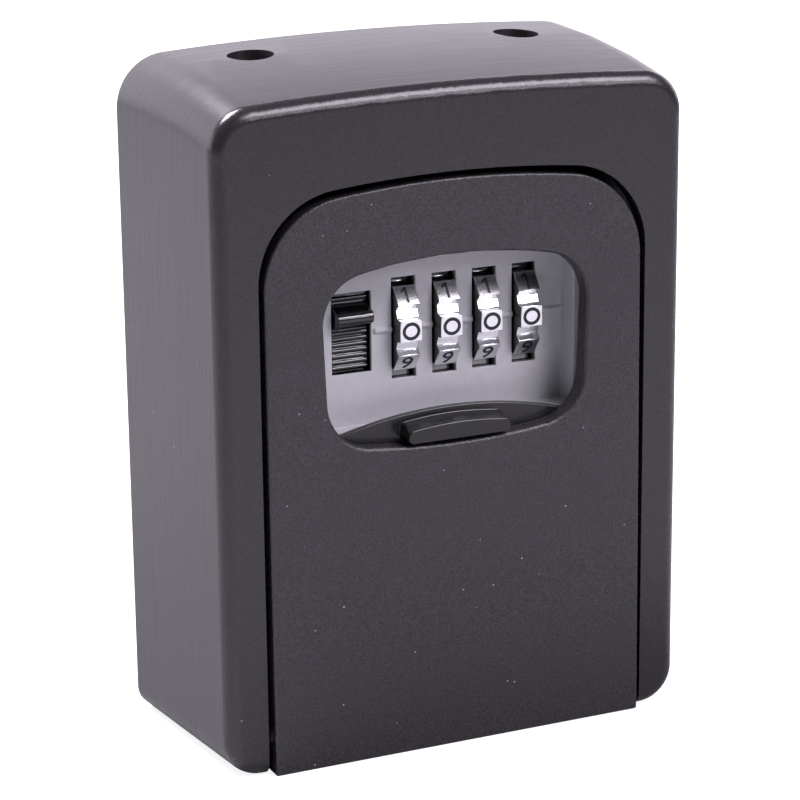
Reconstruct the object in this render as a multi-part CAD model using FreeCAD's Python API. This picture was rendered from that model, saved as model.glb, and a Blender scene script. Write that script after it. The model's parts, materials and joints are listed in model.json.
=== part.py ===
"""Key lock box: a cast wall box with a hinged front door, a four-dial code lock, a sliding
shutter over the dials, an opening lever, a spring-loaded latch and a code-change slide.

Frame: millimetres, X to the right, +Z up, the door faces -Y.
Origin: centre of the footprint, on the underside. Depths named d are measured from the plane of
the case's front face towards the back.
"""
import FreeCAD, Part
import os
from math import atan2, cos, pi, radians, sin, sqrt

V = FreeCAD.Vector

# ---- case ------------------------------------------------------------------------------------
case_width = 90.0            # across the back, its widest place
case_height = 119.0          # at the crown of the top
case_depth = 39.2            # front face to back face
case_wall = 3.0
front_inset = 2.0            # each side draws in by this much towards the front
top_drop = 3.8               # the top falls by this much towards the front, ever more steeply
case_arch_rise = 1.82        # how far the top bows up
case_corner_back = 9.2
case_corner_front = 7.2
foot_corner_back = 4.1
foot_corner_front = 6.7
case_front_round = 2.6
case_sections = 4            # outlines that the case is drawn through
opening_arch_radius = 208.0
opening_corner = 15.2
floor_start = 11.5           # depth where the floor begins, behind the door's lip

# ---- door ------------------------------------------------------------------------------------
frame_head = 19.3            # from the crown of the case down to the crown of the door
door_width = 69.6
door_top = case_height - frame_head
door_arch_radius = 170.0
door_corner = 14.9
door_thickness = 2.5
door_wedge = 1.0             # the lower edge stands this far proud of the case
door_edge_round = 0.4
door_foot_round = 0.5
door_lip_depth = 9.5         # how far the lower lip reaches back
door_lip_thickness = 3.0
door_side_gap = 0.93
door_top_gap = 1.2

# ---- window in the door ------------------------------------------------------------------------
window_width_top = 49.2
window_width_foot = 47.2
window_drop = 12.95          # from the crown of the door down to the crown of the window
window_rise = 32.25          # sill to crown
window_arch_radius = 92.0
window_sill_radius = 140.0
window_corner = 8.5
window_edge_round = 0.8
window_crown = door_top - window_drop
window_sill = window_crown - window_rise     # lowest point of the bowed sill

# ---- hinge -----------------------------------------------------------------------------------
hinge_depth = 5.0
hinge_height = 5.0
hinge_pin_diameter = 3.0
hinge_pin_seat = 5.0         # length pressed into each cheek
hinge_pin_reach = 4.5        # length inside each knuckle
knuckle_length = 8.0
knuckle_radius = 4.0
cheek_height = 11.0

# ---- shackle sockets, keeper and wall screws -----------------------------------------------------
shackle_spacing = 50.0
shackle_depth = 27.7
shackle_bore = 8.0
socket_length = 14.0
socket_diameter = 14.0
keeper_width = 20.0
keeper_thickness = 3.0
screw_spacing_x = 56.0
screw_spacing_z = 65.0
screw_low = 20.0
wall_screw_bore = 4.6
wall_screw_sink = 7.6

# ---- shutter -----------------------------------------------------------------------------------
shutter_width = 52.0
shutter_thickness = 1.2
shutter_height = 34.9
shutter_show = 5.4           # how much of the lowered shutter shows above the sill
shutter_arch_radius = 77.0
tab_width = 19.0
tab_gap = 0.7                # between the lowered tab and the window's sill
tab_height = 2.95
tab_arch_radius = 60.0
tab_proud = 1.0              # beyond the plane of the case's front face
tab_corner = 0.9
tab_root_rise = 0.6          # the tab is this much taller where it leaves the plate

# ---- lock housing --------------------------------------------------------------------------------
housing_width = 55.6
housing_wall = 1.8
housing_drop = 6.4           # below the crown of the door
housing_corner = 5.0
housing_depth = 28.0         # depth of the rear edge
tray_face = 9.0              # depth of the face that the dials stand out of
tray_face_thickness = 1.5
tray_width = 48.4
tray_foot_drop = 16.15       # below the dials' axis
tray_head_rise = 15.35       # above the dials' axis
pocket_floor = 2.0           # under the lowered shutter
pocket_back = 6.0            # depth of the pocket's rear face
rail_width = 2.6
ear_spacing = 61.6
ear_radius = 3.1
ear_low_rise = 6.5           # above the foot of the pocket
ear_high_rise = 7.15         # above the dials' axis
index_height = 1.2
index_proud = 0.45
cover_thickness = 1.5

# ---- dials ---------------------------------------------------------------------------------------
dial_count = 4
dial_pitch = 7.6
first_dial = -5.8            # x of the first dial's middle
dial_width = 4.1
dial_flat_depth = 5.85       # depth of the flat that carries the number
dial_flat_radius = 10.0      # axis to flat
dial_flat_height = 3.7
dial_drop = 26.85            # axis below the crown of the door
dial_faces = 10
dial_notch_depth = 1.15
dial_slot_height = 17.65
dial_slot_gap = 0.2          # each side of a dial in its slot

# ---- spindle, sleeves and code change ------------------------------------------------------------
spindle_diameter = 4.0
spindle_head = 6.0
sleeve_diameter = 7.2
cam_diameter = 10.0
cam_width = 1.4
cam_gap = 0.2                # between a dial and its cam
gate_width = 3.0
gate_floor = 4.0             # axis to the floor of the gate
tooth_depth = 1.2
tooth_angle = 18.0
tooth_reach = 4.7            # axis to the tip of the drive tooth
shift = 1.6                  # travel of the code-change slide
yoke_thickness = 1.2
yoke_height = 9.0
web_thickness = 1.7
knob_width = 7.0
knob_height = 8.0

# ---- latch and lever -----------------------------------------------------------------------------
latch_travel = 5.0
bolt_width = 14.0
bolt_thickness = 3.0
bolt_engagement = 3.0        # how far the bolt stands behind the keeper
crossbar_height = 3.0
crossbar_depth = 7.2
blade_width = 1.0
blade_depth = 2.5
lever_slot_left = -19.1
lever_slot_right = -11.85
lever_slot_drop = 6.95       # foot of the slot, below the dials' axis
lever_slot_rise = 7.1        # head of the slot, above the dials' axis
lever_thickness = 1.2
lever_relief = 0.7           # the tray's wall is this much thinner where the lever slides behind it
strip_thickness = 1.4
ridge_rise = 1.15            # foot of the ridge above the dials' axis
ridge_height = 3.6
ridge_proud = 2.2            # beyond the tray face
rib_pitch = 1.0
rib_proud = 0.35
spring_coil = 4.2            # mean diameter
spring_wire = 0.6
spring_turns = 5
spring_length = 9.1
leaf_thickness = 0.4
leaf_width = 3.0
leaf_bend = 2.2              # from the tip to the end of the finger
leaf_drop = 1.6              # the finger's end lies this much under its tip
leaf_root = 4.6              # from the tip back to where the finger meets its base
leaf_base = 4.9              # length of the base

# ---- fasteners and fits ----------------------------------------------------------------------------
screw_diameter = 2.6
screw_head = 4.6
screw_head_height = 1.4
cover_screw_length = 8.0
running = 0.05               # radial clearance of a pin or shaft that turns
slide = 0.3                  # clearance between parts that slide past each other
overcut = 1.0                # how far a cutter runs past the face it leaves

# ---- worked out from the values above -------------------------------------------------------------
dial_height = door_top - dial_drop
shutter_crown = window_sill + shutter_show
shutter_foot = shutter_crown - shutter_height
tab_foot = window_sill + tab_gap
housing_top = door_top - housing_drop
tray_foot = dial_height - tray_foot_drop
tray_head = dial_height + tray_head_rise
pocket_foot = shutter_foot - pocket_floor - slide
ear_low = pocket_foot + ear_low_rise
ear_high = dial_height + ear_high_rise
lever_slot_foot = dial_height - lever_slot_drop
lever_slot_head = dial_height + lever_slot_rise
ridge_foot = dial_height + ridge_rise
y_front = door_wedge - (case_depth + door_wedge) / 2
opening_half = door_width / 2 + door_side_gap
opening_top = door_top + door_top_gap
cavity_back = case_depth - case_wall
shutter_front = door_thickness + slide
shutter_back = shutter_front + shutter_thickness
track_back = shutter_back + slide
housing_inner = housing_width / 2 - housing_wall
housing_foot = tray_foot - 2.0
cavity_foot = housing_foot + 3.2
cavity_head = housing_top - 1.5
tray_back = tray_face + tray_face_thickness
axis_depth = dial_flat_depth + dial_flat_radius
crest_radius = sqrt(dial_flat_radius ** 2 + (dial_flat_height / 2) ** 2)
dial_centres = [first_dial + i * dial_pitch for i in range(dial_count)]
stack_left = dial_centres[0] + dial_width / 2 + cam_gap + cam_width - dial_pitch
stack_right = dial_centres[-1] + dial_width / 2 + cam_gap + cam_width
crossbar_foot = dial_height + crest_radius + slide + latch_travel
keeper_foot = opening_top + 0.1
bolt_top = keeper_foot + bolt_engagement
lever_front = tray_back - lever_relief + 0.1 + rib_proud
lever_back = lever_front + lever_thickness
latch_front = tray_back + slide
bolt_back = latch_front + bolt_thickness
lever_foot = lever_slot_foot - 0.6
lever_head = lever_slot_head + latch_travel + 0.6
lever_left = lever_slot_left - 0.4
lever_right = lever_slot_right + 0.4
spring_seat = cavity_foot + spring_length
yoke_front = axis_depth + crest_radius + slide
pin_outer = opening_half + hinge_pin_seat


# ---- helpers ---------------------------------------------------------------------------------------
def at(x, d, z):
    """The point at x, d behind the front face and z above the underside."""
    return V(x, y_front + d, z)


def box(x0, x1, d0, d1, z0, z1):
    return Part.makeBox(x1 - x0, d1 - d0, z1 - z0, at(x0, d0, z0))


def rod_x(x0, x1, d, z, radius):
    return Part.makeCylinder(radius, x1 - x0, at(x0, d, z), V(1, 0, 0))


def rod_y(x, z, d0, d1, radius):
    return Part.makeCylinder(radius, d1 - d0, at(x, d0, z), V(0, 1, 0))


def rod_z(x, d, z0, z1, radius):
    return Part.makeCylinder(radius, z1 - z0, at(x, d, z0), V(0, 0, 1))


def side_prism(points, x0, x1):
    """A polygon of (d, z) points drawn out along X."""
    wire = Part.makePolygon([at(x0, d, z) for d, z in points + points[:1]])
    return Part.Face(wire).extrude(V(x1 - x0, 0, 0))


def front_prism(wire, depth):
    """A closed outline in a plane parallel to the front, drawn out towards the back."""
    return Part.Face(wire).extrude(V(0, depth, 0))


def mirrored(shape):
    return shape.mirror(V(0, 0, 0), V(1, 0, 0))


def rounded(shape, radius, chosen):
    """Fillet the edges that the test picks, by their middle point (x, d, z) and direction."""
    picked = []
    for edge in shape.Edges:
        middle = edge.valueAt((edge.FirstParameter + edge.LastParameter) / 2)
        ends = edge.valueAt(edge.LastParameter) - edge.valueAt(edge.FirstParameter)
        if chosen(middle.x, middle.y - y_front, middle.z, ends):
            picked.append(edge)
    return shape.makeFillet(radius, picked)


def along(ends, axis):
    """True for a straight run that lies along X, Y or Z."""
    parts = [abs(ends.x), abs(ends.y), abs(ends.z)]
    return parts[axis] > 0.999 * ends.Length and ends.Length > 0


def arched_outline(half, foot, crown, arch, corner, foot_corner, d):
    """Flat foot, straight sides and a bowed top, with every corner tangent to its neighbours."""
    low = crown - arch
    cx = half - corner
    cz = low + sqrt((arch - corner) ** 2 - cx ** 2)
    turn = atan2(cz - low, cx)
    shoulder = V(arch * cos(turn), 0, low + arch * sin(turn))
    mid = V(cx + corner * cos(turn / 2), 0, cz + corner * sin(turn / 2))
    base = at(0, d, 0)
    edges = []

    def line(a, b):
        edges.append(Part.makeLine(base + a, base + b))

    def arc(a, b, c):
        edges.append(Part.Arc(base + a, base + b, base + c).toShape())

    def flip(p):
        return V(-p.x, p.y, p.z)

    side_top = V(half, 0, cz)
    if foot_corner > 0:
        side_foot = V(half, 0, foot + foot_corner)
        floor_end = V(half - foot_corner, 0, foot)
        bend = V(half - foot_corner * (1 - sqrt(0.5)), 0, foot + foot_corner * (1 - sqrt(0.5)))
        arc(floor_end, bend, side_foot)
    else:
        side_foot = floor_end = V(half, 0, foot)
    line(side_foot, side_top)
    arc(side_top, mid, shoulder)
    arc(shoulder, V(0, 0, crown), flip(shoulder))
    arc(flip(shoulder), flip(mid), flip(side_top))
    line(flip(side_top), flip(side_foot))
    if foot_corner > 0:
        arc(flip(side_foot), flip(bend), flip(floor_end))
    line(flip(floor_end), floor_end)
    return Part.Wire(edges)


# ---- case --------------------------------------------------------------------------------------------
def case_outline(d, inset):
    """Outline of the case at a depth, drawn in by an even wall. It tapers towards the front."""
    t = d / case_depth
    half = case_width / 2 - front_inset * (1 - t) - inset
    crown = case_height - top_drop * (1 - t) ** 2 - inset
    corner = case_corner_front + (case_corner_back - case_corner_front) * t - inset
    foot_corner = foot_corner_front + (foot_corner_back - foot_corner_front) * t - inset
    arch = (case_width / 2) ** 2 / (2 * case_arch_rise) + case_arch_rise / 2 - inset
    return arched_outline(half, inset, crown, arch, corner, foot_corner, d)


def case_loft(d0, d1, inset):
    """Block through the outlines between two depths, straight from one to the next."""
    step = (d1 - d0) / (case_sections - 1)
    outlines = [case_outline(d0 + i * step, inset) for i in range(case_sections)]
    return Part.makeLoft(outlines, True, True)


def case_body():
    """Solid block of the case, standing on a true plane."""
    block = case_loft(0, case_depth, 0)
    half = case_width / 2 + overcut
    room = box(-half, half, -overcut, case_depth + overcut, 0, case_height + overcut)
    return room.common(block)


def case_cavity():
    return case_loft(case_wall, cavity_back, case_wall)


def door_opening():
    """Cut through the front wall, open at the foot, where the door's lip takes the floor's place."""
    wire = arched_outline(opening_half, -overcut, opening_top, opening_arch_radius,
                          opening_corner, 0, -overcut)
    cut = front_prism(wire, case_wall + 2 * overcut)
    slot = box(-opening_half, opening_half, 0, floor_start, -overcut, case_wall + overcut)
    return cut.fuse(slot)


def hinge_cheek():
    """Boss inside a lower corner of the case that holds a hinge pin."""
    return box(opening_half, case_width / 2, 0, floor_start, 0, cheek_height)


def shackle_socket(x):
    """Tube under the top wall with a rib to the back wall."""
    low = case_height - case_wall - socket_length
    tube = rod_z(x, shackle_depth, low, case_height, socket_diameter / 2)
    rib = box(x - case_wall / 2, x + case_wall / 2, shackle_depth, case_depth, low, case_height)
    return tube.fuse(rib)


def keeper():
    """Web behind the top of the opening that the bolt hooks behind."""
    back = latch_front - slide
    web = box(-keeper_width / 2, keeper_width / 2, back - keeper_thickness, back,
              keeper_foot, case_height)
    rib = box(-case_wall / 2, case_wall / 2, 0, back, keeper_foot + case_wall, case_height)
    return web.fuse(rib)


def wall_screw_places():
    return [(x, z) for x in (-screw_spacing_x / 2, screw_spacing_x / 2)
            for z in (screw_low, screw_low + screw_spacing_z)]


def wall_screw_hole(x, z):
    bore = rod_y(x, z, cavity_back - overcut, case_depth + overcut, wall_screw_bore / 2)
    sink = Part.makeCone(wall_screw_sink / 2, wall_screw_bore / 2,
                         (wall_screw_sink - wall_screw_bore) / 2,
                         at(x, cavity_back, z), V(0, 1, 0))
    return bore.fuse(sink)


def make_case_shell():
    body = case_body()
    body = rounded(body, case_front_round, lambda x, d, z, e: abs(d) < 0.01)
    inner = [hinge_cheek(), mirrored(hinge_cheek()), keeper()]
    inner += [shackle_socket(x) for x in (-shackle_spacing / 2, shackle_spacing / 2)]
    shell = body.cut(case_cavity())
    shell = shell.fuse([part.common(body) for part in inner])
    cuts = [door_opening()]
    cuts += [rod_z(x, shackle_depth, case_height - case_wall - socket_length - overcut,
                   case_height + overcut, shackle_bore / 2)
             for x in (-shackle_spacing / 2, shackle_spacing / 2)]
    cuts += [wall_screw_hole(x, z) for x, z in wall_screw_places()]
    pin = rod_x(opening_half - overcut, pin_outer, hinge_depth, hinge_height,
                hinge_pin_diameter / 2)
    cuts += [pin, mirrored(pin)]
    return shell.cut(cuts).removeSplitter()


def make_hinge_pins():
    inner_end = door_width / 2 - hinge_pin_reach
    pin = rod_x(inner_end, pin_outer, hinge_depth, hinge_height, hinge_pin_diameter / 2)
    return Part.makeCompound([pin, mirrored(pin)])


# ---- door --------------------------------------------------------------------------------------------
def window_cutter():
    """Bowed head and sill, sides that draw in towards the sill, round corners."""
    top_half = window_width_top / 2
    foot_half = window_width_foot / 2
    head = window_crown - window_arch_radius + sqrt(window_arch_radius ** 2 - top_half ** 2)
    low = window_sill + window_sill_radius - sqrt(window_sill_radius ** 2 - foot_half ** 2)
    d = -door_wedge - overcut
    corners = [at(-foot_half, d, low), at(foot_half, d, low), at(top_half, d, head),
               at(-top_half, d, head)]
    sill = Part.Arc(corners[0], at(0, d, window_sill), corners[1]).toShape()
    arch = Part.Arc(corners[2], at(0, d, window_crown), corners[3]).toShape()
    right = Part.makeLine(corners[1], corners[2])
    left = Part.makeLine(corners[3], corners[0])
    block = front_prism(Part.Wire([sill, right, arch, left]), door_thickness + door_wedge + 2 * overcut)
    return rounded(block, window_corner, lambda x, d, z, e: along(e, 1))


def door_side_profile():
    """Wedge-shaped panel with a lip at its foot that closes the underside of the case."""
    return [(-door_wedge, 0), (door_lip_depth, 0), (door_lip_depth, door_lip_thickness),
            (door_thickness, door_lip_thickness), (door_thickness, door_top + overcut),
            (0, door_top + overcut)]


def knuckle():
    """Bearing block for one hinge pin, at the inner corner of panel and lip."""
    x0 = door_width / 2 - knuckle_length
    x1 = door_width / 2
    barrel = rod_x(x0, x1, hinge_depth, hinge_height, knuckle_radius)
    filler = box(x0, x1, 0, hinge_depth, 0.5, hinge_height + knuckle_radius)
    foot = box(x0, x1, 0, hinge_depth + knuckle_radius, 0.5, hinge_height)
    return barrel.fuse([filler, foot])


def on_window_edge(x, d, z, ends):
    """The window's edges in the panel's sloping front face."""
    rise = z / door_top
    beside = abs(x) < window_width_top / 2 + 0.1 and window_sill - 0.1 < z < window_crown + 0.1
    return beside and abs(d + door_wedge * (1 - rise)) < 0.2


def ear_places():
    return [(x, z) for x in (-ear_spacing / 2, ear_spacing / 2) for z in (ear_low, ear_high)]


def make_door_panel():
    outline = front_prism(
        arched_outline(door_width / 2, 0, door_top, door_arch_radius, door_corner, 0,
                       -door_wedge - overcut), door_lip_depth + door_wedge + 2 * overcut)
    profile = door_side_profile()
    panel = side_prism(profile, -door_width / 2, door_width / 2).common(outline)
    lip_round = door_lip_thickness - running
    panel = rounded(panel, lip_round,
                    lambda x, d, z, e: abs(d - door_lip_depth) < 0.01 and abs(z) < 0.01)
    panel = rounded(panel, door_foot_round,
                    lambda x, d, z, e: abs(d + door_wedge) < 0.01 and abs(z) < 0.01)
    panel = rounded(panel, door_edge_round,
                    lambda x, d, z, e: d < door_edge_round and z > 2 * door_foot_round)
    panel = panel.cut(window_cutter())
    panel = rounded(panel, window_edge_round, on_window_edge)
    bosses = [rod_y(x, z, door_thickness - 0.5, track_back, ear_radius) for x, z in ear_places()]
    panel = panel.fuse([knuckle(), mirrored(knuckle())] + bosses)
    pin = rod_x(door_width / 2 - hinge_pin_reach - 0.5, door_width / 2 + overcut,
                hinge_depth, hinge_height, hinge_pin_diameter / 2 + running)
    cuts = [pin, mirrored(pin)]
    cuts += [rod_y(x, z, 1.2, track_back + overcut, screw_diameter / 2) for x, z in ear_places()]
    return panel.cut(cuts).removeSplitter()


# ---- shutter -----------------------------------------------------------------------------------------
def make_shutter():
    """Thin plate that slides behind the window, with a finger tab through it."""
    half = shutter_width / 2
    drop = shutter_arch_radius - sqrt(shutter_arch_radius ** 2 - half ** 2)
    d = shutter_front
    corners = [at(-half, d, shutter_foot), at(half, d, shutter_foot),
               at(half, d, shutter_crown - drop), at(-half, d, shutter_crown - drop)]
    arch = Part.Arc(corners[2], at(0, d, shutter_crown), corners[3]).toShape()
    lines = [Part.makeLine(corners[3], corners[0]), Part.makeLine(corners[0], corners[1]),
             Part.makeLine(corners[1], corners[2])]
    plate = front_prism(Part.Wire(lines + [arch]), shutter_thickness)
    ends = [(-tab_proud, 0.0), (shutter_front + 0.4, tab_root_rise)]
    tab = Part.makeLoft([arched_outline(tab_width / 2, tab_foot, tab_foot + tab_height + rise,
                                        tab_arch_radius, tab_corner, tab_corner, depth)
                         for depth, rise in ends], True, True)
    return plate.fuse(tab).removeSplitter()


# ---- lock housing ------------------------------------------------------------------------------------
def housing_outline(d):
    """Rounded upper corners, square foot."""
    half = housing_width / 2
    r = housing_corner
    bend = r * (1 - sqrt(0.5))
    points = [at(half, d, housing_foot), at(half, d, housing_top - r),
              at(half - r, d, housing_top), at(r - half, d, housing_top),
              at(-half, d, housing_top - r), at(-half, d, housing_foot)]
    mids = [at(half - bend, d, housing_top - bend), at(bend - half, d, housing_top - bend)]
    return Part.Wire([
        Part.makeLine(points[0], points[1]), Part.Arc(points[1], mids[0], points[2]).toShape(),
        Part.makeLine(points[2], points[3]), Part.Arc(points[3], mids[1], points[4]).toShape(),
        Part.makeLine(points[4], points[5]), Part.makeLine(points[5], points[0])])


def cavity_box(inset):
    return box(-housing_inner + inset, housing_inner - inset, tray_back, housing_depth + overcut,
               cavity_foot + inset, cavity_head - inset)


def dial_slot(x):
    half = dial_width / 2 + dial_slot_gap
    return box(x - half, x + half, tray_face - overcut, tray_back + overcut,
               dial_height - dial_slot_height / 2, dial_height + dial_slot_height / 2)


def index_lines():
    """Raised round marks on the tray face: before, between and after the dials."""
    half = dial_width / 2 + dial_slot_gap
    radius = index_height / 2
    depth = tray_face - index_proud + radius
    first = lever_slot_right + 0.3 + radius
    starts = [first] + [x + half for x in dial_centres]
    ends = [x - half for x in dial_centres] + [tray_width / 2]
    marks = [rod_x(a, b, depth, dial_height, radius) for a, b in zip(starts, ends)]
    return marks + [Part.makeSphere(radius, at(first, depth, dial_height))]


def bearing_web():
    """Upright inside the housing that carries the left end of the spindle."""
    right = stack_left - yoke_thickness - 0.1 - slide
    top = crossbar_foot - latch_travel - 2.0
    return box(right - web_thickness, right, lever_back + strip_thickness + 0.4, housing_depth - 0.3,
               cavity_foot - 0.5, top)


def right_bearing():
    """Pad on the right-hand wall that carries the other end of the spindle."""
    x0 = stack_right + 0.1 + yoke_thickness + shift + slide
    return rod_x(x0, housing_inner + 0.5, axis_depth, dial_height, spindle_diameter / 2 + 2.0)


def corner_posts():
    """Posts in the corners of the housing that take the cover screws."""
    return [rod_y(x, z, tray_back - 0.5, housing_depth, screw_head / 2)
            for x, z in cover_screw_places()]


def cover_screw_places():
    inset = screw_head / 2 - 0.4
    return [(x, z) for x in (inset - housing_inner, housing_inner - inset)
            for z in (cavity_foot + inset, cavity_head - inset)]


def make_lock_housing():
    """Moulded tray with the dial slots, the mechanism's chamber and the shutter's pocket."""
    half_track = shutter_width / 2 + slide
    rail_half = half_track + rail_width
    body = front_prism(housing_outline(door_thickness), housing_depth - door_thickness)
    pocket = box(-rail_half, rail_half, door_thickness, pocket_back, pocket_foot, housing_top - 8.0)
    ears = [rod_y(x, z, track_back, pocket_back, ear_radius) for x, z in ear_places()]
    arms = [box(min(x, 0.95 * x), max(x, 0.95 * x), track_back, pocket_back,
                z - ear_radius, z + ear_radius) for x, z in ear_places()]
    body = body.fuse([pocket] + ears + arms)
    bars = cavity_box(0)
    track = box(-half_track, half_track, door_thickness - overcut, track_back,
                pocket_foot + pocket_floor, tray_head + 0.4)
    recess = box(-tray_width / 2, tray_width / 2, track_back - overcut, tray_face,
                 tray_foot, tray_head)
    seats = [rod_y(x, z, door_thickness - overcut, track_back, ear_radius + running)
             for x, z in ear_places()]
    body = body.cut([bars, track, recess] + seats)
    body = body.fuse(index_lines() + [bearing_web(), right_bearing()] + corner_posts())
    slots = [dial_slot(x) for x in dial_centres]
    slots.append(box(lever_slot_left, lever_slot_right, tray_face - overcut, tray_back + overcut,
                     lever_slot_foot, lever_slot_head))
    slots.append(box(lever_left - slide, lever_right + slide, tray_back - lever_relief,
                     tray_back + overcut, lever_foot - latch_travel - slide, lever_head + slide))
    bolt_half = bolt_width / 2 + slide
    slots.append(box(-bolt_half, bolt_half, latch_front - 0.2, bolt_back + slide,
                     cavity_head - overcut, housing_top + overcut))
    slots.append(rod_x(-housing_inner + 6.0, housing_width / 2 + overcut, axis_depth, dial_height,
                       spindle_diameter / 2))
    slots += [rod_y(x, z, track_back - overcut, pocket_back + overcut, screw_diameter / 2)
              for x, z in ear_places()]
    slots += [rod_y(x, z, housing_depth - cover_screw_length, housing_depth + overcut, screw_diameter / 2)
              for x, z in cover_screw_places()]
    return body.cut(slots).removeSplitter()


def knob_slot():
    """Place of the code-change knob's stem at rest: x from, x to, z from, z to."""
    x0 = dial_centres[1]
    return x0, x0 + knob_width * 0.6, dial_height - knob_height * 0.3, dial_height + knob_height * 0.3


def make_rear_cover():
    plate = front_prism(housing_outline(housing_depth), cover_thickness)
    x0, x1, z0, z1 = knob_slot()
    cuts = [box(x0 - slide, x1 + shift + slide, housing_depth - overcut,
                housing_depth + cover_thickness + overcut, z0 - slide, z1 + slide)]
    cuts += [rod_y(x, z, housing_depth - overcut, housing_depth + cover_thickness + overcut,
                   screw_diameter / 2) for x, z in cover_screw_places()]
    return plate.cut(cuts)


def screw(x, z, head_from, length):
    """Pan-head screw that enters towards the front from a seat at head_from."""
    shank = rod_y(x, z, head_from - length, head_from, screw_diameter / 2)
    head = rod_y(x, z, head_from, head_from + screw_head_height, screw_head / 2)
    return shank.fuse(head).removeSplitter()


def make_housing_screws():
    length = pocket_back - 1.4
    return Part.makeCompound([screw(x, z, pocket_back, length) for x, z in ear_places()])


def make_cover_screws():
    seat = housing_depth + cover_thickness
    return Part.makeCompound([screw(x, z, seat, cover_screw_length) for x, z in cover_screw_places()])


# ---- dials, sleeves and spindle ------------------------------------------------------------------------
def dial_outline(x):
    """Ten number flats with a grip notch between each pair."""
    step = 2 * pi / dial_faces
    half = dial_flat_height / 2
    floor_radius = dial_flat_radius - dial_notch_depth
    floor_half = 0.32 * (2 * dial_flat_radius * sin(step / 2) - dial_flat_height)
    points = []
    for i in range(dial_faces):
        face = i * step
        gap = face + step / 2
        for r, t, a in ((dial_flat_radius, -half, face), (dial_flat_radius, half, face),
                        (floor_radius, -floor_half, gap), (floor_radius, floor_half, gap)):
            points.append(at(x, axis_depth - r * cos(a) + t * sin(a),
                             dial_height + r * sin(a) + t * cos(a)))
    return Part.makePolygon(points + points[:1])


def make_dial(index):
    """Ring with ten flats; its right side has the notches that the sleeve's tooth drives."""
    centre = dial_centres[index]
    left = centre - dial_width / 2
    right = centre + dial_width / 2
    ring = Part.Face(dial_outline(left)).extrude(V(dial_width, 0, 0))
    ring = ring.cut(rod_x(left - overcut, right + overcut, axis_depth, dial_height,
                          sleeve_diameter / 2 + running))
    reach = tooth_reach + slide
    notch_half = reach * sin(radians(tooth_angle / 2)) + 0.25
    notches = []
    for i in range(dial_faces):
        notch = box(right - tooth_depth - slide, right + overcut, axis_depth - notch_half,
                    axis_depth + notch_half, dial_height, dial_height + reach)
        notches.append(notch.rotate(at(0, axis_depth, dial_height), V(1, 0, 0),
                                    i * 360.0 / dial_faces))
    return ring.cut(notches)


def make_sleeve(index):
    """Clutch sleeve under one dial: tube, cam with its gate, and the tooth that drives it."""
    right = dial_centres[index] + dial_width / 2 + cam_gap + cam_width
    left = right - dial_pitch + running
    cam_left = right - cam_width
    tube = rod_x(left, right, axis_depth, dial_height, sleeve_diameter / 2)
    cam = rod_x(cam_left, right, axis_depth, dial_height, cam_diameter / 2)
    gate = box(cam_left - overcut, right + overcut, axis_depth - gate_width / 2,
               axis_depth + gate_width / 2, dial_height + gate_floor, dial_height + cam_diameter)
    half = tooth_reach * sin(radians(tooth_angle / 2))
    tooth = box(cam_left - cam_gap - tooth_depth, cam_left + 0.5, axis_depth - half,
                axis_depth + half, dial_height - tooth_reach, dial_height)
    bore = rod_x(left - overcut, right + overcut, axis_depth, dial_height,
                 spindle_diameter / 2 + running)
    return tube.fuse([cam.cut(gate), tooth]).cut(bore).removeSplitter()


def make_spindle():
    """Fixed axle of the dials, entered from the right, with a head outside the housing."""
    web = bearing_web().BoundBox
    shaft = rod_x(web.XMin, housing_width / 2, axis_depth, dial_height, spindle_diameter / 2)
    head = rod_x(housing_width / 2, housing_width / 2 + 1.0, axis_depth, dial_height,
                 spindle_head / 2)
    return shaft.fuse(head).removeSplitter()


def make_detent_springs():
    """Leaf spring with one bent finger under each dial."""
    floor = cavity_foot
    tip = dial_height - crest_radius - slide
    t = leaf_thickness
    root = axis_depth + leaf_root
    end = root + leaf_base
    bend = axis_depth - leaf_bend
    profile = [(bend, tip - leaf_drop), (axis_depth, tip), (root, floor + t), (end, floor + t),
               (end, floor), (root - t / 2, floor), (axis_depth, tip - 1.2 * t),
               (bend, tip - leaf_drop - 1.2 * t)]
    half = leaf_width / 2
    fingers = [side_prism(profile, x - half, x + half) for x in dial_centres]
    base = box(dial_centres[0] - leaf_width, dial_centres[-1] + leaf_width, root + t, end,
               floor, floor + t)
    return base.fuse(fingers).removeSplitter()


# ---- latch ---------------------------------------------------------------------------------------------
def make_latch_plate():
    """Bolt, crossbar with the four fence blades, and the strip that carries the lever."""
    top = crossbar_foot + crossbar_height
    right = stack_right + 1.0
    bar = box(lever_left, right, latch_front, latch_front + crossbar_depth, crossbar_foot, top)
    bolt = box(-bolt_width / 2, bolt_width / 2, latch_front, bolt_back, crossbar_foot, bolt_top)
    bolt = rounded(bolt, 1.0, lambda x, d, z, e: along(e, 0) and abs(d - latch_front) < 0.01
                   and abs(z - bolt_top) < 0.01)
    strip = box(lever_left, lever_right, lever_back, lever_back + strip_thickness,
                spring_seat, crossbar_foot + 1.0)
    foot = box(lever_left, lever_left + 5.6, lever_back, lever_back + 5.6, spring_seat,
               spring_seat + 2.0)
    blades = []
    for x in dial_centres:
        centre = x + dial_width / 2 + cam_gap + cam_width / 2
        tip = dial_height + cam_diameter / 2 + slide + latch_travel
        blades.append(box(centre - blade_width / 2, centre + blade_width / 2,
                          axis_depth - blade_depth / 2, axis_depth + blade_depth / 2,
                          tip, crossbar_foot + 0.5))
    return bar.fuse([bolt, strip, foot] + blades).removeSplitter()


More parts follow.
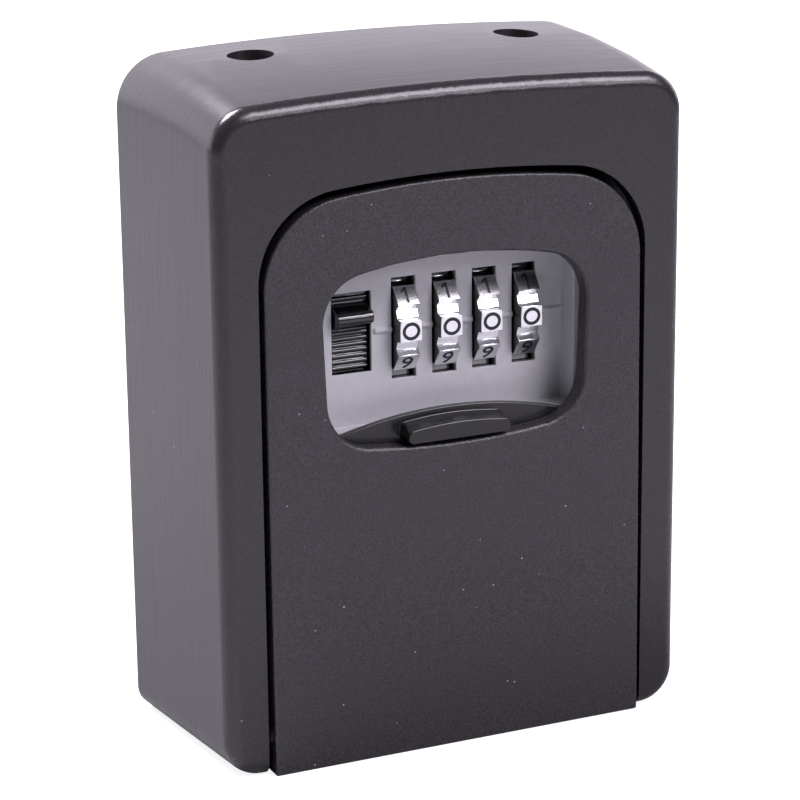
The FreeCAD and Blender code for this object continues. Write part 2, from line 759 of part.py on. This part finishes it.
def make_open_lever():
    """Ribbed thumb plate behind its slot, with a rounded ridge that stands out of it."""
    plate = box(lever_left, lever_right, lever_front, lever_back, lever_foot, lever_head)
    x0 = lever_slot_left + 0.3
    x1 = lever_slot_right - 0.3
    front = tray_face - ridge_proud
    middle = ridge_foot + ridge_height / 2
    nose = ridge_height * 0.32
    ridge = side_prism([(lever_front + 0.2, ridge_foot - 0.5), (front + nose, middle - nose),
                        (front + nose, middle + nose), (lever_front + 0.2, middle + 2.3)], x0, x1)
    ridge = ridge.fuse(rod_x(x0, x1, front + nose, middle, nose))
    ribs = []
    count = int((lever_head - lever_foot) / rib_pitch)
    for i in range(count):
        z = lever_foot + (i + 0.5) * rib_pitch
        if ridge_foot - 1.0 < z < ridge_foot + ridge_height + 1.0:
            continue
        if z < lever_slot_foot or z > lever_slot_head - 0.3:
            continue
        ribs.append(rod_x(x0, x1, lever_front, z, rib_proud))
    return plate.fuse([ridge] + ribs).removeSplitter()


def make_latch_spring():
    """Compression spring under the latch's foot: six-sided wire in short runs, twelve to a turn."""
    rise = spring_seat - cavity_foot - spring_wire
    count = 12 * spring_turns
    centre = at(lever_left + 2.8, lever_back + 2.8, cavity_foot + spring_wire / 2)
    path = []
    for i in range(count + 1):
        turn = i * pi / 6
        path.append(centre + V(spring_coil / 2 * cos(turn), spring_coil / 2 * sin(turn),
                               rise * i / count))
    radius = spring_wire / 2
    ring = [path[0] + V(radius * cos(k * pi / 3), 0, radius * sin(k * pi / 3)) for k in range(7)]
    return Part.makePolygon(path).makePipeShell([Part.makePolygon(ring)], True, True, 1)


# ---- code change -----------------------------------------------------------------------------------------
def make_reset_yoke():
    """U-shaped slide behind the dials; its two arms push the stack of sleeves along the spindle."""
    left = stack_left - 0.1 - yoke_thickness
    right = stack_right + 0.1 + yoke_thickness
    half = yoke_height / 2
    back = yoke_front + yoke_thickness
    bar = box(left, right, yoke_front, back, dial_height - half, dial_height + half)
    ring = sleeve_diameter / 2
    arms = []
    for x in (left, right - yoke_thickness):
        arm = box(x, x + yoke_thickness, axis_depth, back, dial_height - ring, dial_height + ring)
        eye = rod_x(x, x + yoke_thickness, axis_depth, dial_height, ring)
        arms += [arm, eye]
    bore = rod_x(left - overcut, right + overcut, axis_depth, dial_height,
                 spindle_diameter / 2 + running)
    return bar.fuse(arms).cut(bore).removeSplitter()


def make_reset_knob():
    """Thumb knob outside the rear cover, with its stem through the cover's slot."""
    x0, x1, z0, z1 = knob_slot()
    outside = housing_depth + cover_thickness + slide
    stem = box(x0, x1, yoke_front + yoke_thickness, outside + 0.5, z0, z1)
    middle = (x0 + x1) / 2
    pad = box(middle - knob_width / 2, middle + knob_width / 2, outside, outside + 2.2,
              dial_height - knob_height / 2, dial_height + knob_height / 2)
    pad = rounded(pad, 1.0, lambda x, d, z, e: along(e, 1))
    return stem.fuse(pad).removeSplitter()


# ---- every piece -----------------------------------------------------------------------------------------
parts = {
    "case_shell": make_case_shell(),
    "hinge_pins": make_hinge_pins(),
    "door_panel": make_door_panel(),
    "shutter": make_shutter(),
    "lock_housing": make_lock_housing(),
    "lock_rear_cover": make_rear_cover(),
    "housing_screws": make_housing_screws(),
    "cover_screws": make_cover_screws(),
    "dial_spindle": make_spindle(),
    "detent_springs": make_detent_springs(),
    "latch_plate": make_latch_plate(),
    "open_lever": make_open_lever(),
    "latch_spring": make_latch_spring(),
    "reset_yoke": make_reset_yoke(),
    "reset_knob": make_reset_knob(),
}
for number in range(dial_count):
    parts["dial_%d" % (number + 1)] = make_dial(number)
    parts["sleeve_%d" % (number + 1)] = make_sleeve(number)

os.makedirs("parts", exist_ok=True)
for name, shape in parts.items():
    shape.exportStep("parts/%s.step" % name)
    print(name, "solids", len(shape.Solids), "valid", shape.isValid(), "volume", round(shape.Volume, 1))
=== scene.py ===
import json
from math import cos, pi, radians, sin

import bmesh
import bpy
from mathutils import Matrix, Vector

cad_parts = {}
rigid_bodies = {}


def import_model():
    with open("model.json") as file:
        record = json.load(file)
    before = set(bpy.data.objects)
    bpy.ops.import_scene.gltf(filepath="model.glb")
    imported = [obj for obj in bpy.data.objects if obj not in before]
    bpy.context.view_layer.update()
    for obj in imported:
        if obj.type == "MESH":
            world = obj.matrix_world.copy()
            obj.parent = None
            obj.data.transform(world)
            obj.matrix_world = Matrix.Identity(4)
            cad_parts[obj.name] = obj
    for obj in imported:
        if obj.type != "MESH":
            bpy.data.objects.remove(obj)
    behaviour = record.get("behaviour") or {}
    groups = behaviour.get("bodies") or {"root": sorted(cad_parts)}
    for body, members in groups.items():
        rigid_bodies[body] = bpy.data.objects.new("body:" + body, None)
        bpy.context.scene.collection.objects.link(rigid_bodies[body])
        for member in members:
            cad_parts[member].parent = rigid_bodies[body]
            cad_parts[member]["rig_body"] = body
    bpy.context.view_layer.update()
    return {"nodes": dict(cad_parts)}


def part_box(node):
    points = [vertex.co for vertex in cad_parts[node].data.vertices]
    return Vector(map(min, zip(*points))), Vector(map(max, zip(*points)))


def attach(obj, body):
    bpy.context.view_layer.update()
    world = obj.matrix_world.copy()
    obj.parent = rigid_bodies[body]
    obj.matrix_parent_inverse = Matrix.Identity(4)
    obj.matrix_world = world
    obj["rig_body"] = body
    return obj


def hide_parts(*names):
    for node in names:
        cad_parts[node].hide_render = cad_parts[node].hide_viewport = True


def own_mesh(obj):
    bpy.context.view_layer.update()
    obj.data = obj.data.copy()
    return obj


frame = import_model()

MM = 0.001                    # the values below are in millimetres where they are times MM

# ---- places read from the frame -------------------------------------------------------------
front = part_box("case_shell")[0].y
tray_face = front + 9.0 * MM  # the face that the dials stand out of
flat_radius = 10.0 * MM       # a dial's axis to the flat that carries a number

# ---- looks ----------------------------------------------------------------------------------
paint_grey = (0.0225, 0.0196, 0.0238)
plastic_grey = (0.44, 0.44, 0.46)
chrome_tint = (0.82, 0.825, 0.84)
ink_black = (0.006, 0.006, 0.007)
lever_black = (0.004, 0.004, 0.005)
shutter_black = (0.010, 0.0095, 0.0095)
steel_grey = (0.56, 0.56, 0.58)
black_zinc = (0.10, 0.10, 0.11)
blued_grey = (0.06, 0.06, 0.075)
brass_yellow = (0.72, 0.50, 0.20)
cover_black = (0.028, 0.028, 0.031)
lamp_tint = (1.0, 0.945, 1.05)
paint_gloss = 0.58
sanded_from = 2.5 * MM        # the sanding on the case's walls starts this far behind its front
slot_shade_from = 0.5 * MM          # painted shade makes the tray's slots dark from this far behind its face
digit_height = 2.9 * MM
ring_width = 3.3 * MM
ring_height = 3.1 * MM
ring_stroke = 0.58 * MM
digit_rise = 0.02 * MM        # the ink lies this far above a flat
floor_grey = (0.42, 0.42, 0.43)
floor_glow = 0.85             # only the camera sees it: a white floor that keeps its shadow
room_dim = 0.15               # the studio's light from the front and from above
room_bright = 2.05            # its light from the low walls behind the box


# ---- shader helpers -------------------------------------------------------------------------
class Shader:
    """Node tree of one material, with short calls for what the materials here share."""

    def __init__(self, name):
        self.material = bpy.data.materials.new(name)
        self.material.use_nodes = True
        self.tree = self.material.node_tree
        self.bsdf = self.tree.nodes["Principled BSDF"]
        self.place = self.node("ShaderNodeTexCoord").outputs["Object"]
        self.height = None

    def node(self, kind, **values):
        made = self.tree.nodes.new(kind)
        for key, value in values.items():
            setattr(made, key, value)
        return made

    def link(self, a, b):
        self.tree.links.new(a, b)

    def set(self, **values):
        for key, value in values.items():
            socket = self.bsdf.inputs[key.replace("_", " ")]
            socket.default_value = value
        return self

    def stretched(self, scale):
        mapping = self.node("ShaderNodeMapping")
        mapping.inputs["Scale"].default_value = scale
        self.link(self.place, mapping.inputs["Vector"])
        return mapping.outputs["Vector"]

    def noise(self, scale, detail=3.0, rough=0.55, stretch=None):
        made = self.node("ShaderNodeTexNoise")
        made.inputs["Scale"].default_value = scale
        made.inputs["Detail"].default_value = detail
        made.inputs["Roughness"].default_value = rough
        self.link(self.stretched(stretch) if stretch else self.place, made.inputs["Vector"])
        return made.outputs["Fac"]

    def cells(self, scale):
        made = self.node("ShaderNodeTexVoronoi")
        made.inputs["Scale"].default_value = scale
        self.link(self.place, made.inputs["Vector"])
        return made

    def ramp(self, value, *stops):
        """Two stops, each a position and a colour."""
        made = self.node("ShaderNodeValToRGB")
        for mark, (spot, colour) in zip(made.color_ramp.elements, stops):
            mark.position = spot
            mark.color = (*colour, 1.0)
        self.link(value, made.inputs["Fac"])
        return made.outputs["Color"]

    def parts(self, vector):
        """X, Y and Z of a vector, by name."""
        made = self.node("ShaderNodeSeparateXYZ")
        self.link(vector, made.inputs["Vector"])
        return made.outputs

    def math(self, action, a, b=0.0, c=0.0):
        made = self.node("ShaderNodeMath", operation=action)
        for socket, value in zip(made.inputs, (a, b, c)):
            if isinstance(value, (int, float)):
                socket.default_value = value
            else:
                self.link(value, socket)
        return made.outputs["Value"]

    def number_mix(self, factor, a, b):
        """Between two numbers; mix() does the same for colours."""
        made = self.node("ShaderNodeMix")
        for name, value in (("Factor", factor), ("A", a), ("B", b)):
            self.link(value, made.inputs[name])
        return made.outputs["Result"]

    def mix(self, factor, a, b, blend="MIX"):
        made = self.node("ShaderNodeMix", data_type="RGBA", blend_type=blend)
        sockets = (made.inputs["Factor"], made.inputs[6], made.inputs[7])
        for socket, value in zip(sockets, (factor, a, b)):
            if isinstance(value, (int, float)):
                socket.default_value = value
            elif isinstance(value, tuple):
                socket.default_value = (*value, 1.0)
            else:
                self.link(value, socket)
        return made.outputs[2]

    def colour(self, value):
        self.link(value, self.bsdf.inputs["Base Color"])

    def roughness(self, value, low, high):
        made = self.node("ShaderNodeMapRange")
        made.inputs["To Min"].default_value = low
        made.inputs["To Max"].default_value = high
        self.link(value, made.inputs["Value"])
        self.link(made.outputs["Result"], self.bsdf.inputs["Roughness"])

    def bump(self, value, strength, distance):
        made = self.node("ShaderNodeBump")
        made.inputs["Strength"].default_value = strength
        made.inputs["Distance"].default_value = distance
        self.link(value, made.inputs["Height"])
        if self.height:
            self.link(self.height, made.inputs["Normal"])
        self.height = made.outputs["Normal"]
        self.link(self.height, self.bsdf.inputs["Normal"])


def shades(colour, low, high):
    """A darker and a lighter version of one colour."""
    return tuple(c * low for c in colour), tuple(c * high for c in colour)


# ---- materials ------------------------------------------------------------------------------
def painted(s, contrast, dust_share, dust_tone):
    """Base tone of the powder coat: soft clouds, fine flecks and a few pale specks of dust."""
    dark, light = shades(paint_grey, 0.97, 1.03)
    cloud = s.ramp(s.noise(60, 4.0), (0.35, dark), (0.65, light))
    low, high = shades((1.0, 1.0, 1.0), 1.0 - contrast, 1.0 + contrast)
    fleck = s.ramp(s.noise(3000, 2.0), (0.36, low), (0.64, high))
    tone = s.mix(1.0, cloud, fleck, "MULTIPLY")
    dust = s.cells(520)
    spot = s.math("LESS_THAN", dust.outputs["Distance"], 0.075)
    draw = s.math("FRACT", s.math("MULTIPLY", dust.outputs["Color"], 7.3))
    rare = s.math("LESS_THAN", draw, dust_share)
    return s.mix(s.math("MULTIPLY", spot, rare), tone, dust_tone)


def make_case_paint():
    """Smooth satin front frame; the walls behind its round were sanded and show fine streaks."""
    s = Shader("case_paint")
    depth = s.parts(s.place)["Y"]
    wavy = s.math("ADD", depth, s.math("MULTIPLY", s.noise(160, 2.0), 0.3 * MM))
    sanded = s.math("GREATER_THAN", wavy, front + sanded_from)
    streaks = s.noise(1.0, 4.0, 0.65, (55, 1300, 55))
    marks = s.ramp(streaks, (0.36, (0.90,) * 3), (0.66, (1.60,) * 3))
    tone = s.mix(1.0, painted(s, 0.20, 0.05, (0.30, 0.30, 0.33)), (0.68, 0.67, 0.66), "MULTIPLY")
    s.colour(s.mix(sanded, tone, s.mix(1.0, tone, marks, "MULTIPLY")))
    smooth = s.math("MULTIPLY_ADD", s.noise(900, 3.0), 0.10, 0.22)
    rough = s.math("MULTIPLY_ADD", streaks, 0.22, 0.27)
    s.link(s.number_mix(sanded, smooth, rough), s.bsdf.inputs["Roughness"])
    s.set(Specular_IOR_Level=paint_gloss)
    s.bump(s.noise(1500, 3.0, 0.6), 0.08, 0.10 * MM)
    s.bump(s.math("MULTIPLY", sanded, streaks), 0.34, 0.14 * MM)
    s.bump(s.noise(300, 2.0), 0.03, 0.20 * MM)
    return s.material


def make_door_paint():
    """Powder coat with a fine leathery grain that sparkles where an edge catches the light."""
    s = Shader("door_paint")
    s.colour(painted(s, 0.50, 0.16, (0.34, 0.34, 0.37)))
    s.roughness(s.noise(1700, 3.0), 0.20, 0.40)
    s.set(Specular_IOR_Level=paint_gloss)
    s.bump(s.noise(1500, 3.0, 0.6), 0.55, 0.14 * MM)
    s.bump(s.noise(4600, 2.0), 0.85, 0.10 * MM)
    s.bump(s.noise(420, 2.0), 0.16, 0.15 * MM)
    return s.material


def make_plastic(name, colour, low, high, grain, gloss=0.5, shade_depth=None, waves=0.0):
    """Moulded plastic with a fine texture, uneven by `waves`; painted shade makes it almost
    black behind a given depth.
    """
    s = Shader(name)
    dark, light = shades(colour, 0.97, 1.03)
    tone = s.ramp(s.noise(700, 4.0), (0.35, dark), (0.65, light))
    if shade_depth is not None:
        # painted shade: behind that depth, as on the walls of the tray's slots, the tone turns
        # almost black
        painted_slot_shade = s.math("GREATER_THAN", s.parts(s.place)["Y"], shade_depth)
        tone = s.mix(painted_slot_shade, tone, shades(colour, 0.12, 0.12)[0])
    s.colour(tone)
    if waves:
        s.bump(s.noise(260, 1.0), waves, 0.6 * MM)
    s.roughness(s.noise(700, 3.0), low, high)
    s.set(Specular_IOR_Level=gloss)
    s.bump(s.noise(3200, 2.0), grain, 0.05 * MM)
    return s.material


def make_metal(name, colour, low, high, stretch, side=1.0):
    """Bare metal with marks that run one way; painted shade keeps only the share `side` of its
    tone on the ends that face sideways.
    """
    s = Shader(name)
    dark, light = shades(colour, 0.90, 1.06)
    s.set(Metallic=1.0)
    lines = s.noise(1.0, 4.0, 0.6, stretch)
    tone = s.ramp(lines, (0.3, dark), (0.7, light))
    # painted shade on the ends that face sideways, such as the dials' sides in their slots
    if side < 1.0:
        facing = s.parts(s.node("ShaderNodeTexCoord").outputs["Normal"])["X"]
        end = s.math("GREATER_THAN", s.math("ABSOLUTE", facing), 0.8)
        tone = s.mix(end, tone, shades(colour, side, side)[0])
    s.colour(tone)
    s.roughness(lines, low, high)
    s.bump(lines, 0.08, 0.02 * MM)
    return s.material


def make_ink():
    """Slightly uneven black ink of the dial numbers."""
    s = Shader("digit_ink")
    dark, light = shades(ink_black, 0.8, 1.0)
    s.colour(s.ramp(s.noise(900), (0.3, dark), (0.7, light)))
    s.set(Roughness=0.35)
    return s.material


case_paint = make_case_paint()
door_paint = make_door_paint()
shutter_paint = make_plastic("shutter_paint", shutter_black, 0.18, 0.30, 0.20, 0.45)
# the lock housing gets painted shade in its slots
grey_plastic = make_plastic("grey_plastic", plastic_grey, 0.38, 0.52, 0.10,
                            shade_depth=tray_face + slot_shade_from)
cover_plastic = make_plastic("cover_plastic", cover_black, 0.45, 0.60, 0.15)
black_plastic = make_plastic("black_plastic", lever_black, 0.09, 0.17, 0.03, 0.8, waves=0.5)
# the dials' sideways ends get painted shade
chrome = make_metal("dial_chrome", chrome_tint, 0.14, 0.23, (40, 900, 900), side=0.12)
steel = make_metal("screw_steel", steel_grey, 0.22, 0.38, (900, 60, 900))
pin_steel = make_metal("pin_steel", steel_grey, 0.18, 0.30, (60, 900, 900))
spring_steel = make_metal("spring_steel", blued_grey, 0.30, 0.45, (900, 900, 60))
zinc = make_metal("black_zinc", black_zinc, 0.35, 0.50, (500, 500, 500))
brass = make_metal("sleeve_brass", brass_yellow, 0.20, 0.34, (60, 900, 900))
ink = make_ink()


# ---- pieces ---------------------------------------------------------------------------------
def stand_in(node, mesh, material, carrier):
    """A new object that takes the place of a CAD node and rides on the carrier's body."""
    piece = bpy.data.objects.new(node + "_skin", mesh)
    bpy.context.scene.collection.objects.link(piece)
    mesh.materials.clear()
    mesh.materials.append(material)
    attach(piece, frame["nodes"][carrier]["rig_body"])
    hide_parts(node)
    return piece


def clean_copy(node):
    """The node's surface with shared corners, whole flat faces and smooth round ones."""
    mesh = frame["nodes"][node].data.copy()
    weld = 0.002 * MM
    work = bmesh.new()
    work.from_mesh(mesh)
    bmesh.ops.remove_doubles(work, verts=work.verts, dist=weld)
    bmesh.ops.dissolve_degenerate(work, edges=work.edges, dist=weld)
    bmesh.ops.dissolve_limit(work, angle_limit=radians(0.3), verts=work.verts, edges=work.edges)
    work.to_mesh(mesh)
    work.free()
    if "custom_normal" in mesh.attributes:
        mesh.attributes.remove(mesh.attributes["custom_normal"])
    for face in mesh.polygons:
        face.use_smooth = True
        face.material_index = 0
    mesh.set_sharp_from_angle(angle=radians(28))
    return mesh


def even_normals(piece):
    """Keeps flat faces flat beside the rounds that leave them."""
    piece.modifiers.new("even_normals", "WEIGHTED_NORMAL").keep_sharp = True
    return piece


def dress(node, material, edge=0.0):
    """Shows a CAD node with its material; `edge` softens the sharp edges by that width."""
    piece = stand_in(node, clean_copy(node), material, node)
    if edge:
        bevel = piece.modifiers.new("soft_edge", "BEVEL")
        bevel.width = edge
        bevel.segments = 2
        bevel.limit_method = "ANGLE"
        bevel.angle_limit = radians(40)
        bevel.use_clamp_overlap = False
        bevel.harden_normals = False
    return even_normals(piece)


def dress_latch_spring():
    """The coil that stands on the lock's floor, in spring steel with a mesh of its own."""
    coil = stand_in("latch_spring", clean_copy("latch_spring"), spring_steel,
                    "lock_housing")
    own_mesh(coil)


# ---- dial numbers ---------------------------------------------------------------------------
def ring_mesh(name):
    """The round zero: a flat ring."""
    steps = 48
    turns = [2 * pi * i / steps for i in range(steps)]
    corners = []
    for inward in (0.0, ring_stroke):
        wide = ring_width / 2 - inward
        high = ring_height / 2 - inward
        corners += [(wide * cos(turn), high * sin(turn), 0.0) for turn in turns]
    faces = [(i, (i + 1) % steps, steps + (i + 1) % steps, steps + i) for i in range(steps)]
    mesh = bpy.data.meshes.new(name)
    mesh.from_pydata(corners, [], faces)
    return mesh


def one_mesh(name):
    """The one: a stem with a flag."""
    half = digit_height / 2
    stem = 0.24 * MM
    corners = [(-stem, -half), (stem, -half), (stem, half), (-stem, half),
               (-3.6 * stem, 0.62 * half), (-3.6 * stem, 0.30 * half), (-stem, 0.56 * half)]
    mesh = bpy.data.meshes.new(name)
    mesh.from_pydata([(x, y, 0.0) for x, y in corners], [], [(0, 1, 2, 3, 6), (3, 4, 5, 6)])
    return mesh


def figure_mesh(name, value):
    """Any other number, drawn as type, scaled to its height and widened a little."""
    widen = 1.15
    curve = bpy.data.curves.new(name + "_type", "FONT")
    curve.body = str(value)
    curve.size = 1.0
    curve.offset = 0.012
    curve.resolution_u = 4
    typed = bpy.data.objects.new(name + "_type", curve)
    mesh = bpy.data.meshes.new_from_object(typed)
    bpy.data.objects.remove(typed)
    low = [min(v.co[k] for v in mesh.vertices) for k in (0, 1)]
    high = [max(v.co[k] for v in mesh.vertices) for k in (0, 1)]
    scale = digit_height / (high[1] - low[1])
    for v in mesh.vertices:
        v.co = Vector(((v.co.x - (low[0] + high[0]) / 2) * scale * widen,
                       (v.co.y - (low[1] + high[1]) / 2) * scale, 0.0))
    return mesh


def dial_digit(number, value):
    """One number on its flat; each next number stands a tenth of a turn higher."""
    name = "dial_%d_number_%d" % (number, value)
    node = "dial_%d" % number
    low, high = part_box(node)
    if value == 0:
        mesh = ring_mesh(name)
    elif value == 1:
        mesh = one_mesh(name)
    else:
        mesh = figure_mesh(name, value)
    mesh.materials.append(ink)
    piece = bpy.data.objects.new(name, mesh)
    bpy.context.scene.collection.objects.link(piece)
    turn = 2 * pi * value / 10
    out = Vector((0.0, -cos(turn), sin(turn)))
    up = Vector((0.0, sin(turn), cos(turn)))
    axes = Matrix((Vector((1.0, 0.0, 0.0)), up, out)).transposed().to_4x4()
    middle = (low + high) / 2 + out * (flat_radius + digit_rise)
    piece.matrix_world = Matrix.Translation(middle) @ axes
    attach(piece, frame["nodes"][node]["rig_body"])


# ---- every piece ----------------------------------------------------------------------------
dress("case_shell", case_paint)
dress("hinge_pins", pin_steel)
dress("door_panel", door_paint)
dress("shutter", shutter_paint, 0.15 * MM)
dress("lock_housing", grey_plastic, 0.12 * MM)
dress("lock_rear_cover", cover_plastic, 0.2 * MM)
dress("housing_screws", steel)
dress("cover_screws", steel)
dress("dial_spindle", pin_steel)
dress("detent_springs", spring_steel)
dress("latch_plate", zinc, 0.15 * MM)
dress("open_lever", black_plastic, 0.15 * MM)
dress_latch_spring()
dress("reset_yoke", zinc)
dress("reset_knob", black_plastic, 0.2 * MM)
for number in (1, 2, 3, 4):
    dress("dial_%d" % number, chrome, 0.12 * MM)
    dress("sleeve_%d" % number, brass)
    for value in range(10):
        dial_digit(number, value)


# ---- floor, light and camera ----------------------------------------------------------------
def make_floor():
    """Wide pale floor that looks white to the camera and keeps a faint shadow."""
    half = 3.0
    corners = [(-half, -half, 0), (half, -half, 0), (half, half, 0), (-half, half, 0)]
    mesh = bpy.data.meshes.new("floor")
    mesh.from_pydata(corners, [], [(0, 1, 2, 3)])
    floor = bpy.data.objects.new("floor", mesh)
    bpy.context.scene.collection.objects.link(floor)
    s = Shader("floor_white")
    s.set(Base_Color=(*floor_grey, 1.0), Roughness=0.9, Emission_Color=(1.0, 1.0, 1.0, 1.0))
    seen = s.node("ShaderNodeLightPath").outputs["Is Camera Ray"]
    s.link(s.math("MULTIPLY", seen, floor_glow), s.bsdf.inputs["Emission Strength"])
    mesh.materials.append(s.material)


def ranged(tree, value, start, end, low, high):
    """Goes smoothly from low to high while the value goes from start to end."""
    made = tree.nodes.new("ShaderNodeMapRange")
    made.interpolation_type = "SMOOTHSTEP"
    names = ("From Min", "From Max", "To Min", "To Max")
    for name, number in zip(names, (start, end, low, high)):
        made.inputs[name].default_value = number
    tree.links.new(value, made.inputs["Value"])
    return made.outputs["Result"]


def make_world():
    """Studio room: bright low walls behind the box, a dim ceiling and a dim front."""
    world = bpy.data.worlds.new("studio")
    bpy.context.scene.world = world
    world.use_nodes = True
    tree = world.node_tree
    shade = tree.nodes["Background"]
    place = tree.nodes.new("ShaderNodeTexCoord")
    parts = tree.nodes.new("ShaderNodeSeparateXYZ")
    tree.links.new(place.outputs["Generated"], parts.inputs["Vector"])
    behind = ranged(tree, parts.outputs["Y"], -0.15, 0.45, 0.0, 1.0)
    level = ranged(tree, parts.outputs["Z"], 0.38, 0.60, 1.0, 0.0)
    both = tree.nodes.new("ShaderNodeMath")
    both.operation = "MULTIPLY"
    tree.links.new(behind, both.inputs[0])
    tree.links.new(level, both.inputs[1])
    strength = ranged(tree, both.outputs["Value"], 0.0, 1.0, room_dim, room_bright)
    path = tree.nodes.new("ShaderNodeLightPath")
    pick = tree.nodes.new("ShaderNodeMix")
    tree.links.new(path.outputs["Is Camera Ray"], pick.inputs["Factor"])
    tree.links.new(strength, pick.inputs["A"])
    pick.inputs["B"].default_value = 1.0
    tree.links.new(pick.outputs["Result"], shade.inputs["Strength"])
    tint = tree.nodes.new("ShaderNodeMix")
    tint.data_type = "RGBA"
    tree.links.new(path.outputs["Is Camera Ray"], tint.inputs["Factor"])
    tint.inputs[6].default_value = (*lamp_tint, 1.0)
    tint.inputs[7].default_value = (1.0, 1.0, 1.0, 1.0)
    tree.links.new(tint.outputs[2], shade.inputs["Color"])


def make_lamp(name, place, aim, size, power):
    """Soft rectangular lamp at a place, turned to its aim; size is width by height."""
    data = bpy.data.lights.new(name, "AREA")
    data.shape = "RECTANGLE"
    data.size, data.size_y = size
    data.energy = power
    data.color = lamp_tint
    lamp = bpy.data.objects.new(name, data)
    lamp.location = place
    lamp.rotation_mode = "QUATERNION"
    lamp.rotation_quaternion = (Vector(aim) - Vector(place)).to_track_quat("-Z", "Y")
    bpy.context.scene.collection.objects.link(lamp)


def make_camera():
    """Seen from the left front, a little above the box."""
    place = Vector((-0.20585, -0.44123, 0.19589))
    aim = Vector((-0.00274, 0.00090, 0.05617))
    roll = radians(-0.616)
    data = bpy.data.cameras.new("camera")
    data.sensor_width = 36.0
    data.lens = 130.56
    data.shift_x = 0.00782
    data.shift_y = 0.00473
    ahead = (aim - place).normalized()
    level = ahead.cross(Vector((0, 0, 1))).normalized()
    above = level.cross(ahead)
    right = level * cos(roll) + above * sin(roll)
    up = above * cos(roll) - level * sin(roll)
    turn = Matrix((right, up, -ahead)).transposed()
    camera = bpy.data.objects.new("camera", data)
    camera.matrix_world = Matrix.Translation(place) @ turn.to_4x4()
    bpy.context.scene.collection.objects.link(camera)
    bpy.context.scene.camera = camera


make_floor()
make_world()
make_lamp("key", (0.40, -0.56, 0.78), (0, 0, 0.07), (0.6, 0.42), 9.0)
make_lamp("side", (0.44, -0.74, 0.42), (0, 0, 0.07), (0.45, 0.14), 1.5)
make_lamp("rim", (-0.35, 0.45, 1.05), (-0.25, 0.35, 0.0), (0.6, 0.5), 30.0)
make_camera()
bpy.context.scene.view_settings.view_transform = "Standard"
